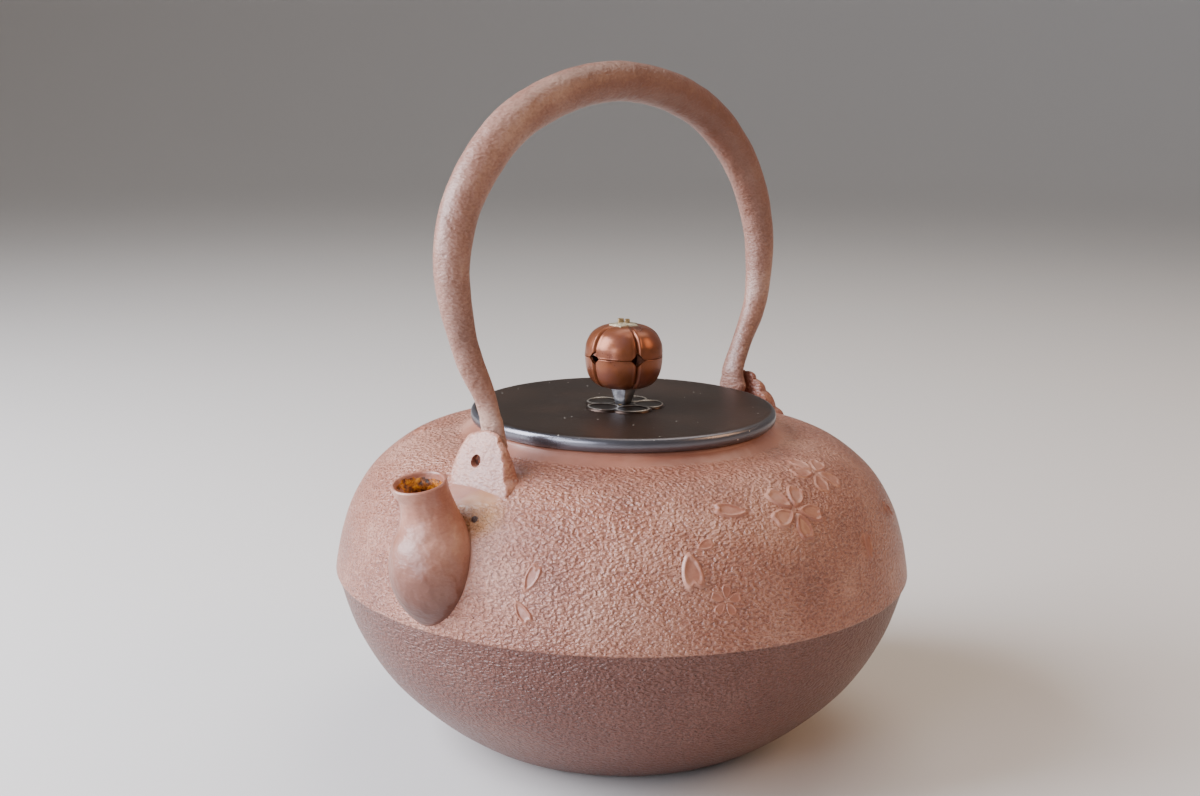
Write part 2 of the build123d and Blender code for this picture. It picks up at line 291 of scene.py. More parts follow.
# ---------------------------------------------------------------- lacquered iron
SMOOTHED = (             # where the mould was smoothed: middle, and where the crinkle starts and is full
    ((0.003, -0.068, 0.096), 0.010, 0.014),
    ((0.003, 0.068, 0.096), 0.010, 0.014),
    ((0.0015, -0.086, 0.073), 0.012, 0.0155),
)
TINTED_SPOTS = (                # beside the spout and the lug, a yellow-brown rust stain, a darker brown patch and a dark rust speck: middle, reach, colour, strength
    ((0.0090, -0.0760, 0.0870), 0.015, "#B98446", 0.45),
    ((0.0100, -0.0600, 0.0955), 0.009, "#7A4A2C", 0.5),
    ((0.0092, -0.0774, 0.0852), 0.0022, "#3E2013", 2.0),
)
SMOOTH_HEIGHT = 0.62     # the crinkle's mean height, which it fades to


def crinkle_height(tree, where):
    """Leathery casting crinkle, about 1.7 mm from ridge to ridge, longer round the body than up it."""
    stretched = node(tree, "ShaderNodeMapping", {"Vector": where, "Scale": (1.0, 1.0, 1.6)})
    worms = node(tree, "ShaderNodeTexNoise", {
        "Vector": stretched.outputs[0], "Scale": per(1.1), "Detail": 0.8, "Roughness": 0.45,
        "Distortion": 0.3})
    ridges = node(tree, "ShaderNodeMapRange", {
        "Value": worms.outputs[0], "From Min": 0.27, "From Max": 0.75})
    grain = node(tree, "ShaderNodeTexNoise", {"Vector": where, "Scale": per(0.5), "Detail": 2.0})
    grain = node(tree, "ShaderNodeMath", {0: grain.outputs[0], 1: 0.2}, operation="MULTIPLY")
    return node(tree, "ShaderNodeMath", {
        0: ridges.outputs[0], 1: grain.outputs[0]}, operation="ADD").outputs[0]


def smoothed(tree, where, height):
    """The crinkle dies away on the neck and round the lugs and the spout."""
    left = node(tree, "ShaderNodeMapRange", {
        "Value": from_axis(tree, where), "From Min": 0.0495, "From Max": 0.0525},
        interpolation_type="SMOOTHSTEP").outputs[0]
    for spot, inner, outer in SMOOTHED:
        left = node(tree, "ShaderNodeMath", {
            0: left, 1: near(tree, where, spot, inner, outer)}, operation="MULTIPLY").outputs[0]
    return node(tree, "ShaderNodeMix", {"Factor": left, "A": SMOOTH_HEIGHT, "B": height}).outputs["Result"]


def shade_below_seam_and_spots(tree, where, skin):
    """The lacquer under the seam is darkened as painted shade, and rust stains and a darker patch lie in a few
    places.
    """
    split = node(tree, "ShaderNodeSeparateXYZ", {"Vector": where})
    # painted shade: the lacquer below the seam is darkened to a deep red-brown
    low = node(tree, "ShaderNodeMapRange", {
        "Value": split.outputs[2], "From Min": 0.0538, "From Max": 0.0543, "To Min": 0.82, "To Max": 0.0})
    skin = node(tree, "ShaderNodeMix", {
        "Factor": low.outputs[0], "A": skin, "B": colour("#54281D")}, data_type="RGBA").outputs["Result"]
    for spot, reach, shade, strength in TINTED_SPOTS:
        skin = stain(tree, skin, where, spot, reach, shade, strength)
    return skin


def darker_below(tree, where, skin, amount):
    """The belly of the spout is darker towards the bottom."""
    split = node(tree, "ShaderNodeSeparateXYZ", {"Vector": where})
    low = node(tree, "ShaderNodeMapRange", {
        "Value": split.outputs[2], "From Min": 0.061, "From Max": 0.086, "To Min": amount, "To Max": 0.0})
    return node(tree, "ShaderNodeMix", {
        "Factor": low.outputs[0], "A": skin, "B": colour("#4E2A20")}, data_type="RGBA").outputs["Result"]


def warm_light_tint(tree, where, skin, amount):
    """The top and rear arm of the bow are painted browner, a painted tint of the warm light that falls on that
    side.
    """
    split = node(tree, "ShaderNodeSeparateXYZ", {"Vector": where})
    rear = node(tree, "ShaderNodeMapRange", {
        "Value": split.outputs[1], "From Min": -0.06, "From Max": 0.02})
    high = node(tree, "ShaderNodeMapRange", {
        "Value": split.outputs[2], "From Min": 0.14, "From Max": 0.19})
    warm_lit = node(tree, "ShaderNodeMath", {0: rear.outputs[0], 1: high.outputs[0]}, operation="MULTIPLY")
    warm_lit = node(tree, "ShaderNodeMath", {0: warm_lit.outputs[0], 1: amount}, operation="MULTIPLY")
    return node(tree, "ShaderNodeMix", {
        "Factor": warm_lit.outputs[0], "A": skin, "B": colour("#6B4130")}, data_type="RGBA").outputs["Result"]


def forge_pits(tree, where, height):
    """Small pits that forging left, 2.6 mm apart."""
    pits = node(tree, "ShaderNodeTexVoronoi", {
        "Vector": where, "Scale": per(2.6), "Randomness": 1.0}, feature="F1")
    dent = node(tree, "ShaderNodeMapRange", {
        "Value": pits.outputs["Distance"], "From Min": 0.0, "From Max": 0.32},
        interpolation_type="SMOOTHSTEP")
    return node(tree, "ShaderNodeMath", {0: height, 1: dent.outputs[0]}, operation="ADD").outputs[0]


def lacquered_iron(name, base, pale, deep, crinkle, relief_shading=1.0, forged=0.0,
                   cast_body=False, low_darkening=0.0, warm_tint_and_pits=0.0):
    """Iron under a satin salmon-brown lacquer: broad soft gloss, a painted highlight on high spots, painted
    dark red shade in hollows.
    """
    mat, tree, where = material(name)
    height = crinkle_height(tree, where)
    if cast_body:
        height = smoothed(tree, where, height)
    # lacquer pooled thin and thick over a few centimetres
    cloud = node(tree, "ShaderNodeTexNoise", {"Vector": where, "Scale": per(26), "Detail": 3.0})
    tint = node(tree, "ShaderNodeValToRGB", {"Fac": cloud.outputs[0]},
                stops=[(0.22, deep), (0.5, base), (0.8, pale)])
    # painted highlight on the relief's high spots, and painted shade in its hollows below
    ridge_highlight = node(tree, "ShaderNodeMapRange", {
        "Value": height, "From Min": 0.45, "From Max": 1.15, "To Max": 0.5 * relief_shading})
    skin = node(tree, "ShaderNodeMix", {
        "Factor": ridge_highlight.outputs[0], "A": tint.outputs[0], "B": colour(pale)},
        data_type="RGBA").outputs["Result"]
    hollow = node(tree, "ShaderNodeMapRange", {
        "Value": height, "From Min": 0.15, "From Max": 0.55, "To Min": 0.6 * relief_shading, "To Max": 0.0})
    skin = node(tree, "ShaderNodeMix", {
        "Factor": hollow.outputs[0], "A": skin, "B": colour(deep)}, data_type="RGBA").outputs["Result"]
    dull = 0.0
    # painted shade below the seam, and the stains
    if cast_body:
        skin = shade_below_seam_and_spots(tree, where, skin)
    if low_darkening:
        skin = darker_below(tree, where, skin, low_darkening)
    # painted warm light browns the top and rear arm of the bow; it also gets forging pits and a duller gloss
    if warm_tint_and_pits:
        skin = warm_light_tint(tree, where, skin, warm_tint_and_pits)
        height = forge_pits(tree, where, height)
        dull = 0.12
    bump = node(tree, "ShaderNodeBump", {"Height": height, "Strength": 1.0, "Distance": crinkle * 0.001})
    hammer = node(tree, "ShaderNodeTexNoise", {"Vector": where, "Scale": per(4.5), "Detail": 1.5})
    soft = node(tree, "ShaderNodeBump", {
        "Height": hammer.outputs[0], "Strength": 1.0, "Distance": 0.0003 + forged * 0.001,
        "Normal": bump.outputs[0]})
    gloss = node(tree, "ShaderNodeMapRange", {
        "Value": cloud.outputs[0], "To Min": 0.3 + dull, "To Max": 0.46 + dull})
    surface(tree, {
        "Base Color": skin, "Roughness": gloss.outputs[0], "Normal": soft.outputs[0],
        "Coat Weight": 0.2, "Coat Roughness": 0.35})
    return mat


# ---------------------------------------------------------------- rust, bronze and the small metals
def iron_crust(name, size, detail, grit, stops, deep, rough, metallic=0.0):
    """Bare iron under oxide and rust in blooms of a size in mm: dull where rough, wet-looking where not."""
    mat, tree, where = material(name)
    crust = node(tree, "ShaderNodeTexNoise", {
        "Vector": where, "Scale": per(size), "Detail": detail, "Roughness": grit})
    tint = node(tree, "ShaderNodeValToRGB", {"Fac": crust.outputs[0]}, stops=stops)
    bump = node(tree, "ShaderNodeBump", {
        "Height": crust.outputs[0], "Strength": 1.0, "Distance": deep * 0.001})
    surface(tree, {
        "Base Color": tint.outputs[0], "Roughness": rough, "Metallic": metallic, "Normal": bump.outputs[0]})
    return mat


def patinated_bronze(name, dark, light, rim_highlight, rough):
    """Bronze under a dark brown patina, wiped to a satin gloss, with pale dust lying on it."""
    mat, tree, where = material(name)
    cloud = node(tree, "ShaderNodeTexNoise", {
        "Vector": where, "Scale": per(20), "Detail": 5.0, "Roughness": 0.6})
    tint = node(tree, "ShaderNodeValToRGB", {"Fac": cloud.outputs[0]}, stops=[(0.3, dark), (0.7, light)])
    # dust: a speck about 0.4 mm wide in half of the cells, which are 4 mm apart
    cells = node(tree, "ShaderNodeTexVoronoi", {"Vector": where, "Scale": per(4.0)}, feature="F1")
    speck = node(tree, "ShaderNodeMapRange", {
        "Value": cells.outputs["Distance"], "From Min": 0.035, "From Max": 0.075,
        "To Min": 1.0, "To Max": 0.0})
    chance = node(tree, "ShaderNodeSeparateColor", {"Color": cells.outputs["Color"]})
    some = node(tree, "ShaderNodeMath", {0: chance.outputs[0], 1: 0.5}, operation="GREATER_THAN")
    dust = node(tree, "ShaderNodeMath", {
        0: speck.outputs[0], 1: some.outputs[0]}, operation="MULTIPLY").outputs[0]
    # the rim is painted a blue-grey highlight, a painted reflection of the window light, and made a little
    # smoother
    rim = node(tree, "ShaderNodeMapRange", {
        "Value": from_axis(tree, where), "From Min": 0.0462, "From Max": 0.0474}).outputs[0]
    worn = node(tree, "ShaderNodeMix", {
        "Factor": rim, "A": tint.outputs[0], "B": colour(rim_highlight)}, data_type="RGBA")
    top = node(tree, "ShaderNodeMix", {
        "Factor": dust, "A": worn.outputs["Result"], "B": colour("#D8D2C8")}, data_type="RGBA")
    shine = node(tree, "ShaderNodeMath", {0: 0.85, 1: dust}, operation="SUBTRACT", use_clamp=True)
    gloss = node(tree, "ShaderNodeMapRange", {
        "Value": cloud.outputs[0], "To Min": rough - 0.07, "To Max": rough + 0.1})
    smoother = node(tree, "ShaderNodeMath", {0: rim, 1: 0.12}, operation="MULTIPLY")
    gloss = node(tree, "ShaderNodeMath", {
        0: gloss.outputs[0], 1: smoother.outputs[0]}, operation="SUBTRACT")
    fine = node(tree, "ShaderNodeTexNoise", {"Vector": where, "Scale": per(1.2), "Detail": 3.0})
    bump = node(tree, "ShaderNodeBump", {"Height": fine.outputs[0], "Strength": 0.6, "Distance": 0.00006})
    surface(tree, {
        "Base Color": top.outputs["Result"], "Metallic": shine.outputs[0], "Roughness": gloss.outputs[0],
        "Normal": bump.outputs[0]})
    return mat


def flower_bronze(name):
    """The dark bronze of the lid, with a pale tint, broken by noise, along the flower's raised rims."""
    mat, tree, where = material(name)
    split = node(tree, "ShaderNodeSeparateXYZ", {"Vector": where})
    cloud = node(tree, "ShaderNodeTexNoise", {"Vector": where, "Scale": per(1.6), "Detail": 4.0})
    rim = node(tree, "ShaderNodeMapRange", {
        "Value": split.outputs[2], "From Min": 0.10524, "From Max": 0.10544})
    broken = node(tree, "ShaderNodeMath", {0: rim.outputs[0], 1: cloud.outputs[0]}, operation="MULTIPLY")
    bright = node(tree, "ShaderNodeMath", {
        0: broken.outputs[0], 1: 2.2}, operation="MULTIPLY", use_clamp=True)
    tint = node(tree, "ShaderNodeMix", {
        "Factor": bright.outputs[0], "A": colour("#352A24"), "B": colour("#BDB6AB")}, data_type="RGBA")
    bump = node(tree, "ShaderNodeBump", {
        "Height": cloud.outputs[0], "Strength": 0.6, "Distance": 0.00008})
    surface(tree, {
        "Base Color": tint.outputs["Result"], "Metallic": 0.9, "Roughness": 0.36,
        "Normal": bump.outputs[0]})
    return mat


def rubbed_metal(name, stops, metallic, rough, size):
    """A small metal part handled for years: cloudy patina, smooth, a soft bright gloss."""
    mat, tree, where = material(name)
    cloud = node(tree, "ShaderNodeTexNoise", {
        "Vector": where, "Scale": per(size), "Detail": 5.0, "Roughness": 0.6})
    tint = node(tree, "ShaderNodeValToRGB", {"Fac": cloud.outputs[0]}, stops=stops)
    gloss = node(tree, "ShaderNodeMapRange", {
        "Value": cloud.outputs[0], "To Min": rough - 0.08, "To Max": rough + 0.12})
    fine = node(tree, "ShaderNodeTexNoise", {"Vector": where, "Scale": per(0.8), "Detail": 3.0})
    bump = node(tree, "ShaderNodeBump", {"Height": fine.outputs[0], "Strength": 0.5, "Distance": 0.00005})
    surface(tree, {
        "Base Color": tint.outputs[0], "Metallic": metallic, "Roughness": gloss.outputs[0],
        "Normal": bump.outputs[0]})
    return mat


# ---------------------------------------------------------------- the kettle's finishes
PAINT = ("#97604C", "#BC8B76", "#76473A")         # as it is, paler, and darker; the paler also paints highlights on high spots and the darker paints shade in the hollows
BOW_PAINT = ("#8C6353", "#B39382", "#6B4638")

# leathery, with painted shade below the seam, on the body
crinkled = lacquered_iron("crinkled_lacquer_on_iron", *PAINT, crinkle=0.66, cast_body=True)
# nearly smooth, on the flowers
smooth_lacquer = lacquered_iron("smooth_lacquer_on_iron", *PAINT, crinkle=0.03, relief_shading=0.2, forged=0.25)
# rough and blotched, with strong painted highlight and shade on its relief, on the lugs
lug_lacquer = lacquered_iron("rough_lacquer_on_lugs", *PAINT, crinkle=0.16, relief_shading=0.7, forged=0.6)
# softly dented, and darker towards the bottom, on the spout
spout_lacquer = lacquered_iron(
    "hammered_lacquer_on_spout", *PAINT, crinkle=0.05, relief_shading=0.3, forged=0.6, low_darkening=0.9)
# dented and pitted, with a painted warm-light tint on the top and rear arm, on the bow
forged_lacquer = lacquered_iron(
    "lacquer_on_forged_iron", *BOW_PAINT, crinkle=0.13, relief_shading=0.5, forged=0.55, warm_tint_and_pits=0.85)
# grey-black and dull with brown blooms, inside the body
inside_iron = iron_crust(
    "boiled_iron_oxide", 14, 6.0, 0.65,
    [(0.35, "#2A2624"), (0.52, "#3A2C25"), (0.62, "#6B3A1F"), (0.75, "#8C5A2B")], 0.6, 0.78, metallic=0.2)
# wet-looking yellow and orange, inside the spout's mouth
spout_rust = iron_crust(
    "glossy_spout_rust", 2.2, 6.0, 0.7,
    [(0.36, "#2E1A10"), (0.47, "#6B3715"), (0.56, "#B56A16"), (0.66, "#D99A1C"), (0.78, "#B98F62")], 0.5, 0.24)
# matt orange-brown, on the ends of the pins
rust = iron_crust(
    "rusted_pin_iron", 1.1, 4.0, 0.5,
    [(0.3, "#2A140C"), (0.5, "#5A2C18"), (0.7, "#8A4A2A")], 0.1, 0.7, metallic=0.3)
# the lid's rim gets a painted blue-grey highlight
lid_bronze = patinated_bronze("brown_patinated_bronze", "#33261F", "#4A3A30", "#6E6D73", 0.4)
seat_bronze = flower_bronze("bronze_flower_with_bright_rims")
# warm brown with a lilac cast, on the knob
knob_copper = rubbed_metal(
    "brown_copper_patina", [(0.3, "#5E3020"), (0.5, "#824A2D"), (0.72, "#7C4E44")], 0.5, 0.28, 9)
calyx_brass = rubbed_metal("pale_tarnished_brass", [(0.3, "#A3977C"), (0.7, "#D9CFB4")], 0.75, 0.42, 3)
collar_metal = rubbed_metal("grey_tarnished_silver", [(0.3, "#6E7076"), (0.7, "#A6A9AF")], 0.95, 0.34, 3)
stem_brass = rubbed_metal("dull_stem_brass", [(0.3, "#6E5436"), (0.7, "#B39A6E")], 0.85, 0.4, 2)


# ---------------------------------------------------------------- kettle body
STANDING_RING = [(0.0, 1.0), (20.0, 1.0), (37.4, 1.0), (38.6, 0.8), (40.0, 0.2), (40.8, 0.0)]
SEAM = [(89.78, 53.85), (89.86, 54.0), (90.06, 54.08), (90.26, 54.3), (90.38, 54.6)]
MOUTH = [(46.5, 100.0), (46.0, 100.4), (43.6, 100.4), (43.2, 100.0), (43.2, 95.0), (48.9, 93.3)]
INNER_BOTTOM = [(43.0, 4.4), (20.0, 4.4), (0.0, 4.4)]
SPOUT_HOLE = (0, -85, 72)

outside = smooth(LOWER, 10) + SEAM + SKIN + smooth(NECK, 6)[1:]
inside = inset(smooth(LOWER[1:] + UPPER[1:], 6), WALL)
body = lathe(STANDING_RING + outside + MOUTH + inside[::-1] + INNER_BOTTOM, 320)
body = carve(body, rod(7.2, 30.0, SPOUT_HOLE, 40))
for face in body.faces:
    middle = face.calc_center_median()
    faces_in = face.normal.dot(Vector((middle.x, middle.y, middle.z - 60))) < 0
    bare = hypot(middle.x, middle.y) < 43.3 or (middle.z < 96 and faces_in)
    face.material_index = 1 if bare and middle.z > 1.5 else 0
finish(body, "cast_body", "kettle", [crinkled, inside_iron],
       ["kettle_bowl", "kettle_shoulder"], crease=50)

# ---------------------------------------------------------------- spout
# Each ring is its distance out along -Y, height, radius, lean in degrees and shift along X.
SPOUT = [
    (84.6, 55.2, 4.8, 0, 1.4), (85.0, 57.6, 7.2, 0, 1.4), (85.6, 61.0, 9.6, 0, 1.4),
    (86.1, 65.2, 11.4, 0, 1.4), (86.4, 69.8, 12.3, 0, 1.4), (86.4, 74.4, 12.35, 1, 1.3),
    (86.2, 79.2, 11.4, 3, 1.1), (86.2, 84.1, 9.3, 7, 0.8), (87.1, 88.9, 7.8, 12, 0.4),
    (88.4, 93.0, 7.3, 16, 0.1), (89.5, 95.2, 7.7, 14, 0.0),
]
LIP = [
    (90.1, 96.2, 7.9, 12, 0.0), (90.3, 96.9, 7.95, 12, 0.0), (90.38, 97.2, 7.6, 12, 0.0),
    (90.38, 97.2, 7.2, 12, 0.0), (90.3, 96.9, 6.85, 12, 0.0),
]
BORE = [
    (89.6, 95.2, 6.2, 14, 0.0), (88.4, 93.0, 5.1, 16, 0.1), (87.0, 88.9, 5.4, 12, 0.4),
    (86.0, 84.1, 6.6, 7, 0.8), (85.5, 79.2, 8.4, 3, 1.1), (85.4, 74.4, 9.4, 1, 1.3),
    (85.2, 69.5, 9.0, 0, 1.4), (84.6, 63.5, 5.6, 0, 1.4),
]


def ring_place(ring):
    """Puts a unit circle where a ring of the spout is."""
    out, height, radius, lean, shift = ring
    tilted = Matrix.Translation((shift, -out, height)) @ Matrix.Rotation(radians(lean), 4, "X")
    return tilted @ Matrix.Diagonal((radius, radius, 1, 1))


rings = smooth(SPOUT + LIP[:1], 5) + LIP[1:] + smooth([LIP[-1]] + BORE, 4)[1:]
spout = carve(sweep([ring_place(ring) for ring in rings], 56), skin_core())
channel = smooth(BORE, 4)
for face in spout.faces:
    middle = face.calc_center_median()
    level = [ring for ring in channel if abs(ring[1] - middle.z) < 1.5]
    if level and middle.z < 96.9:
        out, _, radius, _, shift = min(level, key=lambda ring: abs(ring[1] - middle.z))
        face.material_index = 1 if hypot(middle.x - shift, middle.y + out) < radius + 0.55 else 0
finish(spout, "bulb_spout", "kettle", [spout_lacquer, spout_rust], ["spout"])

# ---------------------------------------------------------------- lugs
LUG = [                  # outline as (x, height), from the rear foot over the top to the front foot
    (-7.0, 86.0), (-7.8, 91.2), (-8.7, 95.2), (-8.2, 99.4), (-7.2, 102.6), (-5.7, 105.4),
    (-3.1, 106.5), (0.6, 107.4), (3.6, 107.1), (6.1, 105.8), (7.6, 103.6), (9.8, 101.2),
    (11.2, 97.6), (13.2, 94.4), (14.5, 91.4), (15.5, 86.0),
]
LUG_MIDDLE = (3.3, 96.0)         # the point that its rings shrink towards
LUG_INNER_FACE = 63.0            # distance from the kettle's axis
LUG_SMALLEST = 0.917             # size of its first ring, as a part of the outline
LUG_HALF_WIDTH = 9               # turns a ring's inset to a size
LUG_ROUND = ((0.2, 0.25), (0.7, 0.0), (-0.7, 0.0), (-0.2, 0.25), (0.0, 0.75))    # in from a face, inset
SCALLOPED = (46, 40)             # the outline's first scalloped point, and how many there are
HINGE = 99.0


def lug_thickness(height):
    """The outer face leans in, so a lug is thinner towards its top."""
    return max(1.0, 10.2 - 0.4057 * (height - 85.0))


def lug(side):
    """A mound on the shoulder, its outer face leaning in and its edges rounded; side is -1 at the spout."""
    outline = smooth(LUG, 6)
    first, count = SCALLOPED
    for i in range(first, first + count):
        x, z = outline[i]
        scallop = (1.3 if side > 0 else 0.6) * (abs(sin((i - first) / count * 4 * pi)) - 0.4)
        outline[i] = (x + scallop * 0.85, z + scallop * 0.5)
    bm = bmesh.new()
    mx, mz = LUG_MIDDLE
    before = LUG_SMALLEST
    rim = [
        bm.verts.new((mx + (x - mx) * before, side * LUG_INNER_FACE, mz + (z - mz) * before))
        for x, z in outline]
    ring = [bm.edges.new(pair) for pair in zip(rim, rim[1:] + rim[:1])]
    bmesh.ops.contextual_create(bm, geom=ring)
    for step, (into, inward) in enumerate(LUG_ROUND):
        ring, corners = next_ring(bm, ring)
        now = 1 - inward / LUG_HALF_WIDTH
        for vert in corners:
            x, z = mx + (vert.co.x - mx) * now / before, mz + (vert.co.z - mz) * now / before
            thick = lug_thickness(z)
            depth = min(into, thick * 0.45) if step < 2 else thick + max(into, -thick * 0.45)
            vert.co = (x, side * (LUG_INNER_FACE + depth), z)
        before = now
    bmesh.ops.contextual_create(bm, geom=ring)
    bmesh.ops.recalc_face_normals(bm, faces=bm.faces)
    bm = carve(bm, rod(1.8, 30.0, (0, side * 68, HINGE), 32))
    return carve(bm, skin_core())


finish(lug(-1), "front_lug_casting", "kettle", [lug_lacquer], ["front_lug"])
finish(lug(1), "rear_lug_casting", "kettle", [lug_lacquer], ["rear_lug"])


# ---------------------------------------------------------------- cast petals and blossoms
EDGE = 0.8               # where a petal's rolled edge lies, its disc's radius being 1


def petal(length, width, notch, tall):
    """A raised petal lying flat at the origin, its base at -X: a rolled edge round a shallow dish."""
    bm = disc(15, 12, 56)
    for vert in bm.verts:
        out, turn = hypot(vert.co.x, vert.co.y), atan2(vert.co.y, vert.co.x)
        x = 0.5 * length * (cos(turn) - notch * exp(-((turn / 0.34) ** 2)))
        y = 0.5 * width * sin(turn) * (0.45 + 0.55 * (0.5 + 0.5 * cos(turn)) ** 0.7)
        worn = 0.85 + 0.55 * noise.noise(Vector((x * 0.55, y * 0.55, length)))
        rolled = worn * exp(-(((out - EDGE) / 0.15) ** 2))
        dish = 0.18 if out < EDGE else 0.0
        away = max(0.0, out - EDGE) / 0.45
        vert.co = (x * out, y * out, tall * (rolled + dish * (1 - rolled)) - 0.3 * min(1.0, away) ** 2)
    return bm


def lay(bm, azimuth, height, turn):
    """Bends flat relief onto the upper skin at an azimuth from the spout and a height."""
    turn = radians(turn)
    for vert in bm.verts:
        across = vert.co.x * cos(turn) - vert.co.y * sin(turn)
        up = vert.co.x * sin(turn) + vert.co.y * cos(turn)
        r, z, tilt = skin_at(height, up)
        angle = radians(azimuth) + across / r
        r += vert.co.z * cos(tilt)
        z += vert.co.z * sin(tilt)
        vert.co = (r * sin(angle), -r * cos(angle), z)
    bmesh.ops.recalc_face_normals(bm, faces=bm.faces)
    return bm


def blossom(size, tall):
    """Five petals round a point."""
    petals = []
    for k in range(5):
        one = petal(size * 0.44, size * 0.34, 0.2, tall)
        bmesh.ops.translate(one, vec=(size * 0.27, 0, 0), verts=one.verts)
        turned = Matrix.Rotation(radians(72 * k), 3, "Z")
        bmesh.ops.rotate(one, cent=(0, 0, 0), matrix=turned, verts=one.verts)
        petals.append(one)
    return join(*petals)


relief = join(
    # in front and on the right
    lay(blossom(21.0, 0.75), 78.5, 87.2, 52),
    lay(blossom(20.0, 0.4), 95.0, 93.4, 20),
    lay(petal(11.0, 7.6, 0.3, 0.85), 51.7, 76.2, -84),
    lay(petal(11.0, 6.0, 0.25, 0.7), 62.5, 89.2, 165),
    lay(petal(9.5, 5.2, 0.25, 0.5), 95.5, 73.8, 80),
    lay(petal(8.0, 5.0, 0.2, 0.5), 114.0, 78.0, 130),
    lay(petal(9.0, 5.0, 0.25, 0.55), 22.0, 73.6, 70),
    lay(petal(8.0, 4.6, 0.25, 0.6), 21.0, 64.4, -50),
    lay(petal(10.5, 5.6, 0.2, 0.5), -57.0, 94.4, 10),
    lay(blossom(10.0, 0.26), 57.6, 68.3, 10),
    lay(petal(5.5, 4.0, 0.2, 0.25), 55.0, 82.5, 20),
    # on the left and behind
    lay(blossom(19.0, 0.6), -95.0, 68.0, 30),
    lay(petal(9.0, 5.0, 0.25, 0.6), -120.0, 84.0, 60),
    lay(blossom(20.0, 0.65), 205.0, 80.0, -20),
    lay(petal(10.0, 5.6, 0.25, 0.6), 170.0, 70.0, 100),
    lay(petal(9.0, 5.2, 0.25, 0.6), 228.0, 70.0, 200),
)
finish(relief, "cast_blossoms", "kettle", [smooth_lacquer], crease=180)

# ---------------------------------------------------------------- handle
# Each place is its distance from the kettle's axis along Y, height, thickness and width.
LEAN = 2.5
BOW = [
    (60.2, 108.4, 4.8, 8.0), (62.9, 117.0, 6.6, 7.4), (68.4, 128.0, 8.2, 8.0), (72.4, 140.0, 9.4, 9.2),
    (74.4, 153.4, 10.9, 10.2), (71.9, 166.6, 12.0, 11.2), (65.2, 178.0, 12.5, 11.8),
    (56.2, 187.4, 12.8, 12.2), (45.7, 194.6, 12.9, 12.4), (34.2, 199.4, 12.9, 12.4),
    (22.8, 202.6, 12.8, 12.4), (11.4, 204.4, 12.7, 12.4), (0.0, 205.0, 12.7, 12.4),
]
FOOT = [
    (60.0, 96.5, 2.4, 1.6), (60.0, 96.7, 3.6, 3.4), (60.0, 97.6, 4.4, 5.6), (60.0, 99.6, 4.7, 8.0),
    (60.0, 102.0, 4.8, 10.4), (60.0, 103.4, 4.8, 10.0), (60.0, 105.4, 4.8, 8.8),
]
REAR_OUT = [0.2, 3.0, 4.8, 3.8, 1.8, 0.5] + [0.0] * 6    # how much wider the rear arm is bent
LEVEL_RINGS = 35                 # rings at each end that lie level across a foot

front_arm = [(-s, z, t, w) for s, z, t, w in FOOT + BOW]
rear_arm = FOOT + [(s + out, z, t, w) for (s, z, t, w), out in zip(BOW, REAR_OUT)]
line = smooth(front_arm + rear_arm[::-1], 6)
leaning = Matrix.Translation((0, 0, HINGE)) @ Matrix.Rotation(radians(-LEAN), 4, "Y")
places = []
for i, (s, z, t, w) in enumerate(line):
    s0, z0 = line[max(i - 1, 0)][:2]
    s1, z1 = line[min(i + 1, len(line) - 1)][:2]
    along = atan2(z1 - z0, s1 - s0)
    if i < LEVEL_RINGS:
        along = pi / 2
    if i >= len(line) - LEVEL_RINGS:
        along = -pi / 2
    upright = Matrix.Translation((0, s, z - HINGE)) @ Matrix.Rotation(along - pi / 2, 4, "X")
    places.append(leaning @ upright @ Matrix.Diagonal((w / 2, t / 2, 1, 1)))
bow = sweep(places, 40)
for vert in bow.verts:
    if vert.co.z > 110:
        broad = noise.noise(vert.co * 0.085) * 0.28
        fine = noise.noise(vert.co * 0.21 + Vector((9, 0, 0))) * 0.12
        vert.co += vert.normal * (broad + fine - 0.24)
finish(bow, "forged_bow", "handle", [forged_lacquer], ["handle_bow"])

for side, name in ((-1, "front"), (1, "rear")):
    pin = rod(1.75, 8.5, (0, side * 61.85, HINGE), 32)
    ends = [e for e in pin.edges if e.calc_face_angle() > 1.0]
    bmesh.ops.bevel(pin, geom=ends, offset=0.35, segments=3, profile=0.5, affect="EDGES", material=-1)
    finish(pin, name + "_pin", "handle", [rust], [name + "_pivot_pin"])

# ---------------------------------------------------------------- lid
LID = [
    (1.75, 102.1), (40.5, 102.1), (40.5, 95.4), (40.9, 95.0), (42.3, 95.0), (42.7, 95.4),
    (42.7, 100.5), (46.6, 100.5), (47.1, 100.6), (47.6, 101.0), (47.85, 101.6), (47.9, 102.4),
    (47.9, 103.2), (47.75, 103.8), (47.4, 104.3), (46.9, 104.6), (46.3, 104.7), (44.0, 104.7),
    (36.0, 104.66), (20.0, 104.62), (8.0, 104.62), (1.75, 104.62),
]
lid = lathe(LID + LID[:1], 240)
finish(lid, "bronze_lid", "lid", [lid_bronze], ["lid_plate"], crease=50)

# ---------------------------------------------------------------- flower seat under the knob
FIRST = radians(-30.3)   # direction of the first petal, and of the knob's first line
FIFTH = radians(72)
LID_TOP = 104.6


def lobe(angle):
    """1 in the middle of each of five petals, 0 between them."""
    return abs(cos(2.5 * (angle - FIRST)))


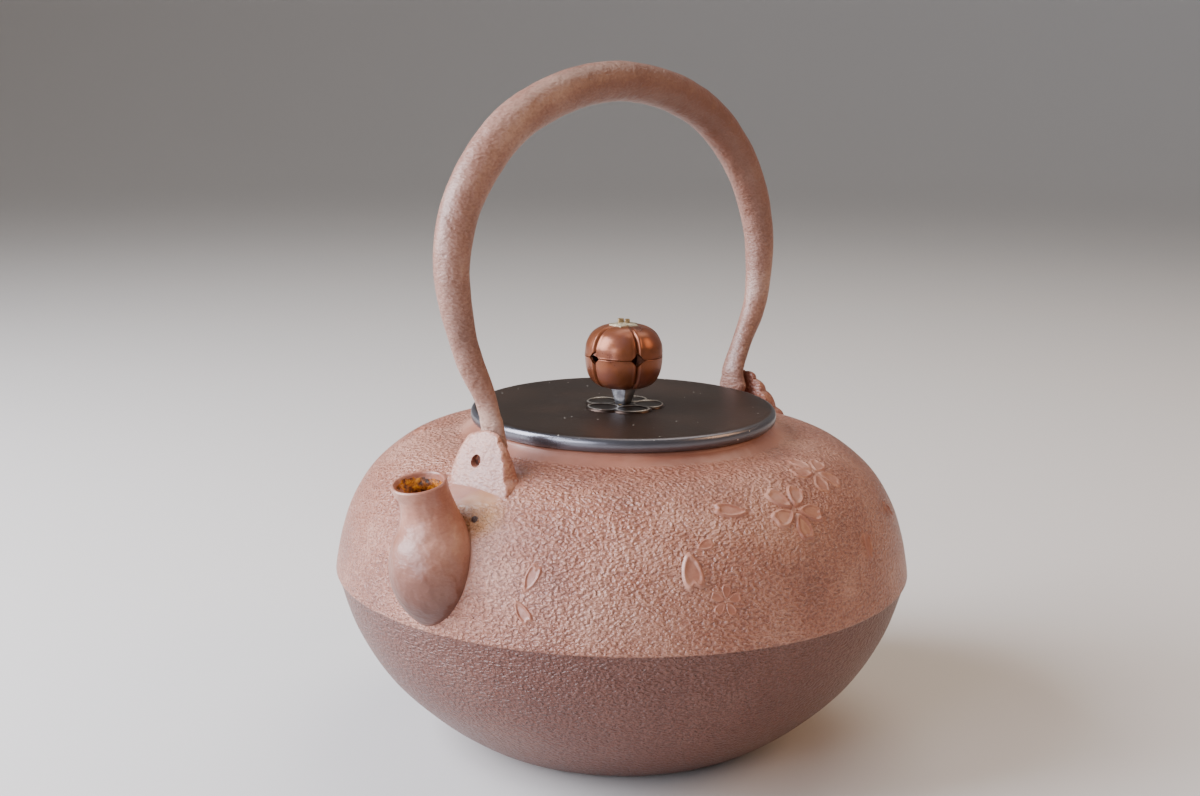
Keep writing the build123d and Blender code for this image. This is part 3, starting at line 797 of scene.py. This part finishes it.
seat = disc(36, 36, 240)
for vert in seat.verts:
    out, turn = hypot(vert.co.x, vert.co.y), atan2(vert.co.y, vert.co.x)
    r = out * (13.0 - 2.6 * (1 - lobe(turn) ** 0.6))
    centre = FIRST + round((turn - FIRST) / FIFTH) * FIFTH
    x, y = r * cos(turn - centre) - 7.9, r * sin(turn - centre)
    ring = hypot(x / 1.06, y / (1.2 + 0.03 * x)) / 4.4
    rim = exp(-(((ring - 0.95) / 0.085) ** 2))
    dish = 0.2 * max(0.0, 1 - ring**2)
    drop = max(0.0, out - 0.95) / 0.05
    vert.co = (r * cos(turn), r * sin(turn), 105.15 + 0.32 * rim - dish - 0.55 * min(1.0, drop) ** 2)
for vert in underside(seat):
    vert.co.z = LID_TOP
bmesh.ops.recalc_face_normals(seat, faces=seat.faces)
finish(seat, "flower_washer", "lid", [seat_bronze], ["flower_seat"], crease=60)

# ---------------------------------------------------------------- knob
collar = bmesh.new()
bmesh.ops.create_cube(collar, size=1.0)
bmesh.ops.scale(collar, vec=(3.8, 3.8, 5.5), verts=collar.verts)
bmesh.ops.translate(collar, vec=(0, 0, 108.05), verts=collar.verts)
top = [v for v in collar.verts if v.co.z > 108]
bmesh.ops.scale(collar, vec=(1.66, 1.66, 1), verts=top)
corners = [e for e in collar.edges if abs(e.verts[0].co.z - e.verts[1].co.z) > 1]
bmesh.ops.bevel(collar, geom=corners, offset=0.55, segments=2, profile=0.5, affect="EDGES", material=-1)
rims = [e for e in collar.edges if abs(e.verts[0].co.z - e.verts[1].co.z) < 0.1]
bmesh.ops.bevel(collar, geom=rims, offset=0.2, segments=2, profile=0.5, affect="EDGES", material=-1)
finish(collar, "knob_collar", "knob", [collar_metal], ["collar"])

KNOB_SEAM = 121.0
KNOB_LOWER = [
    (4.2, 110.8), (5.6, 110.75), (8.3, 111.5), (10.5, 113.4), (11.75, 116.4), (12.2, 119.6), (12.2, 120.92),
]
KNOB_UPPER = [
    (12.2, 121.08), (12.2, 122.4), (11.8, 124.9), (10.3, 127.7), (7.9, 129.5), (5.2, 130.3), (3.0, 130.3),
]


def faces_out(bm, middle):
    """Whether most faces of a shell point away from its middle."""
    outward = sum(f.normal.dot(f.calc_center_median() - middle) > 0 for f in bm.faces)
    return outward >= len(bm.faces) / 2


def knob_half(curve):
    """Half of the hollow knob: five ribs parted by sunk lines with turned-up lips, and half of each window."""
    bm = lathe(smooth(curve, 8), 360)
    for vert in bm.verts:
        r, turn = hypot(vert.co.x, vert.co.y), atan2(vert.co.y, vert.co.x)
        off = (turn - FIRST + pi / 5) % (2 * pi / 5) - pi / 5
        across = abs(off) * max(r, 3.0)
        up = vert.co.z - KNOB_SEAM
        rib = -0.55 * (1 - abs(cos(2.5 * (off + pi / 5)))) ** 2 * min(1.0, r / 8)
        line = -0.75 * exp(-((across / 0.42) ** 2)) + 0.2 * exp(-(((across - 1.05) / 0.35) ** 2))
        lip = 0.16 * exp(-((up / 0.5) ** 2)) - 0.22 * exp(-((up / 0.12) ** 2))
        grow = 1 + (rib + line + lip) / max(r, 3.0)
        vert.co.x *= grow
        vert.co.y *= grow
    bmesh.ops.recalc_face_normals(bm, faces=bm.faces)
    if not faces_out(bm, Vector((0, 0, 120.7))):
        bmesh.ops.reverse_faces(bm, faces=bm.faces)
    bmesh.ops.solidify(bm, geom=bm.faces[:], thickness=1.0)
    windows = bmesh.new()
    for k in range(5):
        spin = Matrix.Rotation(FIRST + FIFTH * k, 4, "Z") @ Matrix.Translation((11, 0, KNOB_SEAM))
        diamond = Matrix.Rotation(pi / 4, 4, "X") @ Matrix.Diagonal((8, 3.3, 3.3, 1))
        bmesh.ops.create_cube(windows, size=1.0, matrix=spin @ diamond)
    return carve(bm, windows, folded=True)


for curve, name, cad_node in ((KNOB_LOWER, "knob_bottom_shell", "knob_lower_half"),
                              (KNOB_UPPER, "knob_top_shell", "knob_upper_half")):
    finish(knob_half(curve), name, "knob", [knob_copper], [cad_node], crease=55)

cap = disc(14, 14, 120)
for vert in cap.verts:
    out, turn = hypot(vert.co.x, vert.co.y), atan2(vert.co.y, vert.co.x)
    point = 1 - abs(((turn - FIRST) / radians(36) + 1) % 2 - 1)
    r = out * (3.3 + 1.6 * (1 - point) ** 1.4)
    fold = 0.15 * (1 - point) * out
    vert.co = (r * cos(turn), r * sin(turn), 131.45 + fold - 0.21 * r)
bmesh.ops.translate(cap, vec=(0, 0, -0.5), verts=underside(cap))
bmesh.ops.recalc_face_normals(cap, faces=cap.faces)
finish(cap, "calyx_cap", "knob", [calyx_brass], ["calyx"], crease=50)

STEM = [
    (0.0, 100.7), (3.7, 100.7), (4.0, 100.9), (4.0, 101.8), (3.7, 102.1), (1.6, 102.15),
    (1.6, 131.0), (0.0, 131.0),
]
LEG_FOOT = 130.4         # the two legs start inside the knob and end over the calyx
stem = lathe(STEM, 40)
for side, tall, wide in ((-1, 132.4, 1.9), (1, 132.25, 1.6)):
    leg = bmesh.new()
    bmesh.ops.create_cube(leg, size=1.0)
    bmesh.ops.scale(leg, vec=(wide, 1.8, tall - LEG_FOOT), verts=leg.verts)
    bmesh.ops.bevel(leg, geom=leg.edges[:], offset=0.35, segments=3, profile=0.5, affect="EDGES", material=-1)
    apart = Matrix.Translation((side * 1.0 - 0.15, 0, (tall + LEG_FOOT) / 2))
    bmesh.ops.transform(leg, matrix=Matrix.Rotation(radians(VIEW), 4, "Z") @ apart, verts=leg.verts)
    stem = join(stem, leg)
finish(stem, "split_pin_legs", "lid", [stem_brass], ["split_pin"])

# ---------------------------------------------------------------- studio, in metres
floor_mat, tree, _ = material("pale_studio_floor")
surface(tree, {"Base Color": colour("#CFCBC6"), "Roughness": 0.85})
rise = [(1.5, 0.0), (2.0, 0.03), (2.4, 0.16), (2.7, 0.4), (2.9, 0.8), (3.0, 1.4), (3.0, 2.2)]
floor_mesh = mesh_of(lathe([(0.0, 0.0)] + smooth(rise, 6), 96), "studio_floor")
floor_mesh.shade_smooth()
floor_mesh.materials.append(floor_mat)
floor = bpy.data.objects.new("studio_floor", floor_mesh)
bpy.context.scene.collection.objects.link(floor)

world = bpy.data.worlds.new("studio")
world.use_nodes = True
world.node_tree.nodes["Background"].inputs[0].default_value = colour("#DADADC")
world.node_tree.nodes["Background"].inputs[1].default_value = 0.25
bpy.context.scene.world = world


def softbox(name, azimuth, elevation, distance, size, power, shade):
    """A soft window facing the kettle, from an azimuth round it in degrees."""
    lamp = bpy.data.lights.new(name, "AREA")
    lamp.shape = "RECTANGLE"
    lamp.size, lamp.size_y = size
    lamp.energy = power
    lamp.color = colour(shade)[:3]
    box = bpy.data.objects.new(name, lamp)
    a, e = radians(azimuth), radians(elevation)
    aim = Vector((0, 0, 0.09))
    box.location = aim + distance * Vector((sin(a) * cos(e), -cos(a) * cos(e), sin(e)))
    box.rotation_euler = (aim - box.location).to_track_quat("-Z", "Y").to_euler()
    bpy.context.scene.collection.objects.link(box)


softbox("window_left", VIEW - 80, 30, 0.95, (0.7, 0.8), 33, "#EDF2FF")
softbox("front_window", VIEW - 38, 14, 1.15, (0.55, 0.5), 9, "#EAF0FF")
softbox("warm_right", VIEW + 84, 34, 1.1, (0.5, 0.5), 4.5, "#FFC898")
softbox("overhead", VIEW + 150, 66, 1.2, (0.9, 0.9), 7.5, "#FFF6EA")

camera = bpy.data.cameras.new("camera")
camera.sensor_width = 36.0
camera.lens = 51.9
camera.clip_start = 0.01
eye = bpy.data.objects.new("camera", camera)
spot = Matrix.Rotation(radians(VIEW), 4, "Z") @ Vector((0, -0.533, 0.2174))
eye.matrix_world = (
    Matrix.Translation(spot)
    @ Matrix.Rotation(radians(VIEW + 0.795), 4, "Z")
    @ Matrix.Rotation(radians(90 - 11.708), 4, "X")
    @ Matrix.Rotation(radians(0.615), 4, "Z")
)
bpy.context.scene.collection.objects.link(eye)
bpy.context.scene.camera = eye
